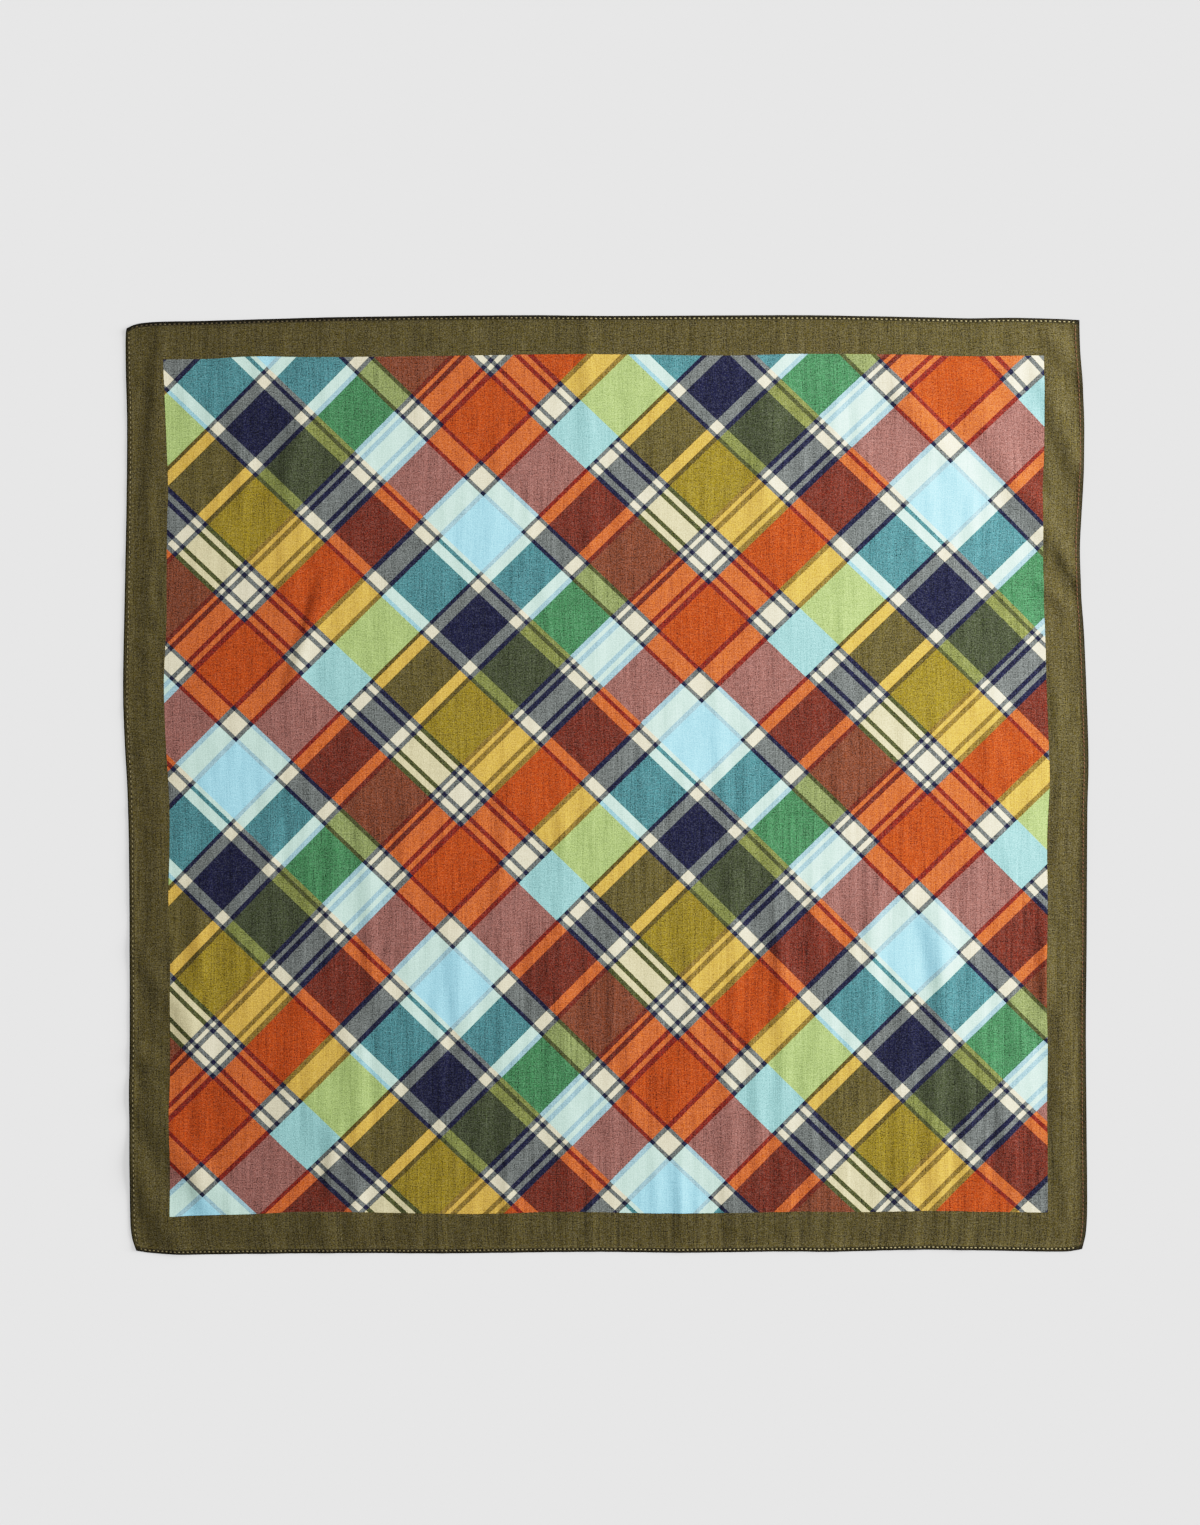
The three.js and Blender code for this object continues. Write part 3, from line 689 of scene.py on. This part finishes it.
def cloth_material():
    mat = bpy.data.materials.new("printed_cotton")
    mat.use_nodes = True
    net = Net(mat.node_tree)
    m = net.math
    plaid = net.split(net.attribute("plaid").outputs["Vector"])
    lr = net.split(net.attribute("panel_lr").outputs["Vector"])
    tb = net.split(net.attribute("panel_tb").outputs["Vector"])
    yarn_v = net.attribute("yarn").outputs["Vector"]
    yarn = net.split(yarn_v)
    u, v, under = yarn[0], yarn[1], yarn[2]
    stitched = net.split(net.attribute("stitched").outputs["Vector"])
    inwards = lr[2]

    # Yarn: short streaks both ways, flecks and slow unevenness.
    yarn_up = net.noise(net.join(m("MULTIPLY", u, 1.5), m("MULTIPLY", v, 0.042), 3.1), 1.0, 2.0, 0.6)
    yarn_across = net.noise(net.join(m("MULTIPLY", u, 0.21), m("MULTIPLY", v, 1.5), 9.7), 1.0, 2.0, 0.6)
    fleck = net.noise(yarn_v, 1.45, 1.0, 0.5)
    grain = net.noise(net.vector("ADD", yarn_v, (31.0, 17.0, 5.0)), 1.5, 1.0, 0.5)
    slub = net.noise(net.join(m("MULTIPLY", u, 0.50), m("MULTIPLY", v, 0.019), 6.3), 1.0, 2.0, 0.55)
    cloud = net.noise(net.join(m("MULTIPLY", u, 0.12), m("MULTIPLY", v, 0.030), 1.7), 1.0, 2.0, 0.5)

    # The print's edges follow the yarns, so they are a little ragged.
    ragged = m("MULTIPLY", m("SUBTRACT", fleck, 0.5), 0.45)
    s = m("FLOORED_MODULO", m("ADD", plaid[0], ragged), REPEAT_ACROSS)
    t = m("FLOORED_MODULO", m("SUBTRACT", plaid[1], ragged), REPEAT_DOWN)

    # Number of the stripe across.
    number, edge = None, 0.0
    for kind, width in ACROSS[:-1]:
        edge += width
        past = m("GREATER_THAN", s, edge)
        number = past if number is None else m("ADD", number, past)
    look = m("MULTIPLY_ADD", number, 1.0 / len(ACROSS), 0.5 / len(ACROSS))

    strips = {}
    for name, row in CROSS.items():
        ramp = net.node("ShaderNodeValToRGB")
        band = ramp.color_ramp
        band.interpolation = "CONSTANT"
        net.put(ramp.inputs[0], look)
        band.elements[0].position = 0.0
        band.elements[0].color = albedo(DYES[row[ACROSS[0][0]]])
        band.elements.remove(band.elements[1])
        for k, (kind, _) in enumerate(ACROSS[1:], 1):
            if row[kind] == row[ACROSS[k - 1][0]]:
                continue
            e = band.elements.new(k / len(ACROSS))
            e.color = albedo(DYES[row[kind]])
        strips[name] = ramp.outputs[0]
    colour, edge = strips[DOWN[0][0]], DOWN[0][1]
    for name, width in DOWN[1:]:
        colour = net.mix(m("GREATER_THAN", t, edge), colour, strips[name])
        edge += width

    # Plain border outside the panel.
    inside = m("MINIMUM", m("MINIMUM", lr[0], lr[1]), m("MINIMUM", tb[0], tb[1]))
    inside = m("GREATER_THAN", m("ADD", inside, m("MULTIPLY", ragged, 0.6)), 0.0)
    colour = net.mix(inside, albedo(DYES["border"]), colour)

    # Uneven yarns: each takes the ink a little differently, most of all in the
    # dark dyes, where pale fibre also shows between them.
    rgb = net.split(colour)
    light = m("ADD", m("ADD", m("MULTIPLY", rgb[0], 0.3), m("MULTIPLY", rgb[1], 0.55)), m("MULTIPLY", rgb[2], 0.15))
    dark = m("SUBTRACT", 1.0, light, clamp=True)
    strength = m("MULTIPLY_ADD", m("MULTIPLY", dark, dark), 1.27, 0.175)
    yarns = m("ADD", m("MULTIPLY", m("SUBTRACT", yarn_up, 0.5), 1.20), m("MULTIPLY", m("SUBTRACT", yarn_across, 0.5), 0.95))
    slubs = m("ADD", net.smooth(v, 180.0, 340.0, 0.26, 0.84), net.smooth(v, 500.0, 520.0, 0.0, 0.30))
    slubs = m("MULTIPLY", slubs, net.smooth(u, 60.0, 320.0, 0.55, 1.0))
    yarns = m("ADD", yarns, m("MULTIPLY", m("SUBTRACT", slub, 0.5), slubs))
    uneven = m("ADD", yarns, m("MULTIPLY", m("SUBTRACT", fleck, 0.5), 2.7))
    shade = m("MULTIPLY_ADD", uneven, strength, m("MULTIPLY_ADD", m("SUBTRACT", cloud, 0.5), 0.26, 1.0))
    pale = m("MULTIPLY", m("SUBTRACT", grain, 0.5), 0.075)
    colour = net.vector("MAXIMUM", net.vector("ADD", colour, net.join(pale, pale, pale)), (0.003, 0.003, 0.003))

    # Plain weave: the crossings stand up in the bump, and painted shade darkens the gaps between yarns.
    pitch = 0.46
    wu = m("ABSOLUTE", m("SINE", m("MULTIPLY", u, math.pi / pitch)))
    wv = m("ABSOLUTE", m("SINE", m("MULTIPLY", v, math.pi / pitch)))
    dome = m("POWER", m("MULTIPLY", wu, wv), 0.5)
    shade = m("MULTIPLY", shade, m("MULTIPLY_ADD", dome, 0.16, 0.90))

    # The hem shows darker than the cloth inside it, darkest at its rim.
    # side: rim from and to, its shade, band's width and shade
    sides = [
        (u, 0.4, 1.4, 0.42, 3.3, 0.73), (m("SUBTRACT", 2 * HALF_WIDTH, u), 0.6, 1.5, 0.52, 2.5, 0.46),
        (v, 0.9, 1.6, 0.38, 2.9, 0.50), (m("SUBTRACT", 2 * HALF_HEIGHT, v), 0.7, 1.5, 0.42, 2.9, 0.48),
    ]
    for way, start, stop, rim_shade, band_wide, band_shade in sides:
        rim = net.smooth(way, start, stop, rim_shade, 1.0)
        band = net.smooth(way, band_wide - 0.5, band_wide + 0.1, band_shade, 1.0)
        shade = m("MULTIPLY", shade, m("MULTIPLY", rim, band))
    # Darker still along the top edge, most towards the left.
    top_edge_darker = m("SUBTRACT", 1.0, m("MULTIPLY", net.smooth(v, 1.5, 2.7, 0.50, 0.0), net.smooth(u, 120.0, 430.0, 1.0, 0.0)))
    shade = m("MULTIPLY", shade, top_edge_darker)
    # Dips between the stitches: painted shade darkens the colour in them, and the bump sinks them a little.
    dip_and_painted_shade = net.smooth(m("COSINE", m("MULTIPLY", stitched[0], 2 * math.pi)), -0.15, 0.65)
    on_line = net.smooth(m("ABSOLUTE", stitched[1]), 0.25, 0.8, 1.0, 0.0)
    dip_and_painted_shade = m("MULTIPLY", dip_and_painted_shade, on_line)
    from_ends = m("MINIMUM", v, m("SUBTRACT", 2 * HALF_HEIGHT, v))
    dip_and_painted_shade = m("MULTIPLY", dip_and_painted_shade, net.smooth(from_ends, 3.0, 5.0, 1.0, 0.32))
    # Painted shade: the colour is darkened in the dips between the stitches.
    shade = m("MULTIPLY", shade, m("MULTIPLY_ADD", dip_and_painted_shade, -0.66, 1.0))
    face = net.mix(1.0, colour, net.join(shade, shade, shade), "MULTIPLY")

    # The underside: the print comes through paler, but the roll of the hem shows its face.
    through = m("MULTIPLY", under, net.smooth(inwards, 3.0, 4.0, 0.0, 0.46))
    face = net.mix(through, face, (0.52, 0.50, 0.44, 1.0))

    height = m("ADD", m("MULTIPLY", dome, 0.05), m("MULTIPLY", fleck, 0.10))
    height = m("ADD", height, m("MULTIPLY", yarns, 0.07))
    height = m("ADD", height, m("MULTIPLY", net.noise(yarn_v, 0.22, 2.0, 0.5), 0.16))
    height = m("SUBTRACT", height, m("MULTIPLY", dip_and_painted_shade, 0.22))
    bump = net.node("ShaderNodeBump")
    bump.inputs["Strength"].default_value = 0.8
    bump.inputs["Distance"].default_value = 0.001
    net.put(bump.inputs["Height"], height)

    shader = net.node("ShaderNodeBsdfPrincipled")
    net.put(shader.inputs["Base Color"], face)
    net.put(shader.inputs["Normal"], bump.outputs[0])
    net.put(shader.inputs["Roughness"], net.smooth(fleck, 0.3, 0.7, 0.96, 0.86))
    shader.inputs["Specular IOR Level"].default_value = 0.12
    shader.inputs["Sheen Weight"].default_value = 0.04
    shader.inputs["Sheen Roughness"].default_value = 0.55
    shader.inputs["Sheen Tint"].default_value = (0.9, 0.88, 0.82, 1.0)
    out = net.node("ShaderNodeOutputMaterial")
    net.put(out.inputs[0], shader.outputs[0])
    return mat


def thread_material():
    mat = bpy.data.materials.new("stitch_thread")
    mat.use_nodes = True
    net = Net(mat.node_tree)
    tint = net.attribute("tint").outputs["Fac"]
    where = net.node("ShaderNodeTexCoord").outputs["Object"]
    fuzz = net.noise(where, 2600.0, 2.0, 0.6)
    twist = net.node("ShaderNodeTexWave", wave_type="BANDS", bands_direction="DIAGONAL")
    net.put(twist.inputs["Vector"], where)
    twist.inputs["Scale"].default_value = 900.0
    twist.inputs["Distortion"].default_value = 1.5
    colour = net.mix(tint, albedo((90, 72, 40)), albedo((208, 198, 150)))
    colour = net.mix(net.attribute("warm").outputs["Fac"], colour, albedo((124, 82, 50)))
    shade = net.math("MULTIPLY_ADD", fuzz, 0.5, 0.72)
    # The twist's bands are painted shade in the grooves between plies and painted highlight on the plies, beside the
    # bump.
    shade = net.math("MULTIPLY", shade, net.math("MULTIPLY_ADD", twist.outputs["Fac"], 0.18, 0.90))
    colour = net.mix(1.0, colour, net.join(shade, shade, shade), "MULTIPLY")
    bump = net.node("ShaderNodeBump")
    bump.inputs["Strength"].default_value = 0.6
    bump.inputs["Distance"].default_value = 0.0001
    net.put(bump.inputs["Height"], twist.outputs["Fac"])
    shader = net.node("ShaderNodeBsdfPrincipled")
    net.put(shader.inputs["Base Color"], colour)
    net.put(shader.inputs["Normal"], bump.outputs[0])
    shader.inputs["Roughness"].default_value = 0.7
    shader.inputs["Specular IOR Level"].default_value = 0.3
    shader.inputs["Sheen Weight"].default_value = 0.1
    out = net.node("ShaderNodeOutputMaterial")
    net.put(out.inputs[0], shader.outputs[0])
    return mat


def floor_material():
    mat = bpy.data.materials.new("pale_floor")
    mat.use_nodes = True
    net = Net(mat.node_tree)
    shader = net.node("ShaderNodeBsdfPrincipled")
    shader.inputs["Base Color"].default_value = (FLOOR_ALBEDO, FLOOR_ALBEDO, FLOOR_ALBEDO, 1)
    shader.inputs["Roughness"].default_value = 1.0
    shader.inputs["Specular IOR Level"].default_value = 0.0
    out = net.node("ShaderNodeOutputMaterial")
    net.put(out.inputs[0], shader.outputs[0])
    return mat


# ---- camera ---------------------------------------------------------------------------------
# The outline's own centre is the origin, as in the solid.
edge_x = np.concatenate([place(np.linspace(0, 1, 400), e)[0] for e in (0.0, 1.0)] + [place(e, np.linspace(0, 1, 400))[0] for e in (0.0, 1.0)])
edge_y = np.concatenate([place(np.linspace(0, 1, 400), e)[1] for e in (0.0, 1.0)] + [place(e, np.linspace(0, 1, 400))[1] for e in (0.0, 1.0)])
SHIFT = (-(edge_x.min() + edge_x.max()) / 2, -(edge_y.min() + edge_y.max()) / 2)

cam_data = bpy.data.cameras.new("camera")
cam_data.lens = 85
cam_data.sensor_width = 36
cam_data.clip_start, cam_data.clip_end = 0.05, 30
camera = bpy.data.objects.new("camera", cam_data)
camera.location = ((-3.4 + SHIFT[0]) * MM, (12.8 + SHIFT[1]) * MM, 2.0694)
bpy.context.scene.collection.objects.link(camera)
bpy.context.scene.camera = camera

# ---- the object -------------------------------------------------------------------------------
cloth, made = make_cloth(SHIFT)
cloth.data.materials.append(cloth_material())
stitches = make_stitches(SHIFT)
stitches.data.materials.append(thread_material())
for piece in (cloth, stitches):
    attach(piece, "root")
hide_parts("bandana")

# ---- floor and light ------------------------------------------------------------------------------
mesh = bpy.data.meshes.new("floor")
R = 6.0
mesh.from_pydata([(-R, -R, -0.00005), (R, -R, -0.00005), (R, R, -0.00005), (-R, R, -0.00005)], [], [[0, 1, 2, 3]])
mesh.materials.append(floor_material())
floor = bpy.data.objects.new("floor", mesh)
bpy.context.scene.collection.objects.link(floor)


def only_on(light, name, *objs):
    group = bpy.data.collections.new(name)
    for o in objs:
        group.objects.link(o)
    light.light_linking.receiver_collection = group


def aim(obj, target):
    from mathutils import Vector
    way = Vector(target) - obj.location
    obj.rotation_mode = "QUATERNION"
    obj.rotation_quaternion = way.to_track_quat("-Z", "Y")


key_data = bpy.data.lights.new("key", "AREA")
key_data.shape = "SQUARE"
key_data.size = KEY_SIZE
reach = math.hypot(*KEY_SIDE, KEY_HIGH)
key_data.energy = GAIN * EXPOSE * KEY_SHARE * math.pi * math.pi * reach ** 3 / KEY_HIGH
key = bpy.data.objects.new("key", key_data)
key.location = (KEY_SIDE[0], KEY_SIDE[1], KEY_HIGH)
aim(key, (0, 0, 0))
key.visible_camera = False
bpy.context.scene.collection.objects.link(key)
only_on(key, "lit_by_key", cloth, stitches)

world = bpy.data.worlds.new("world")
bpy.context.scene.world = world
world.use_nodes = True
tree = world.node_tree
tree.nodes.clear()
fill = EXPOSE * (1 - KEY_SHARE)
shown = light_for(linear(FLOOR_SHADE))
w_out = tree.nodes.new("ShaderNodeOutputWorld")
w_mix = tree.nodes.new("ShaderNodeMixShader")
w_path = tree.nodes.new("ShaderNodeLightPath")
w_fill = tree.nodes.new("ShaderNodeBackground")
w_seen = tree.nodes.new("ShaderNodeBackground")
w_fill.inputs[0].default_value = (1, 1, 1, 1)
w_fill.inputs[1].default_value = fill
w_seen.inputs[0].default_value = (1, 1, 1, 1)
w_seen.inputs[1].default_value = shown
tree.links.new(w_path.outputs["Is Camera Ray"], w_mix.inputs[0])
tree.links.new(w_fill.outputs[0], w_mix.inputs[1])
tree.links.new(w_seen.outputs[0], w_mix.inputs[2])
tree.links.new(w_mix.outputs[0], w_out.inputs[0])

# The floor's own light: mostly from straight above, the rest low from the right,
# which leaves a faint soft shadow along the left edge.
for name, share, height, wide in (("floor_high", 1 - FLOOR_LOW_SHARE, 88, 20), ("floor_low", FLOOR_LOW_SHARE, 22, 34)):
    sun_data = bpy.data.lights.new(name, "SUN")
    sun_data.angle = math.radians(wide)
    high = math.radians(height)
    sun_data.energy = share * (shown / FLOOR_ALBEDO - fill) * math.pi / math.sin(high)
    sun = bpy.data.objects.new(name, sun_data)
    sun.location = (math.cos(high) * 0.985, math.cos(high) * 0.17, math.sin(high))
    aim(sun, (0, 0, 0))
    bpy.context.scene.collection.objects.link(sun)
    only_on(sun, "lit_by_" + name, floor)

# ---- tone --------------------------------------------------------------------------------------------
scene = bpy.context.scene
scene.view_settings.view_transform = "Standard"
scene.view_settings.look = "None"
scene.view_settings.exposure = 0
scene.view_settings.gamma = 1
scene.view_settings.use_curve_mapping = True
curves = scene.view_settings.curve_mapping
top_light = float(TONE_X[-1])
curves.black_level = (0, 0, 0)
curves.white_level = (top_light, top_light, top_light)
curves.use_clip = True
curves.clip_min_x = curves.clip_min_y = 0
curves.clip_max_x = curves.clip_max_y = 1
curve = curves.curves[3]
for y in (0.004, 0.01, 0.02, 0.04, 0.07, 0.11, 0.17, 0.25, 0.34, 0.45, 0.56, 0.67, 0.77, 0.86, 0.93):
    curve.points.new(light_for(y) / top_light, y)
for p in curve.points:
    p.handle_type = "AUTO_CLAMPED"
curves.update()
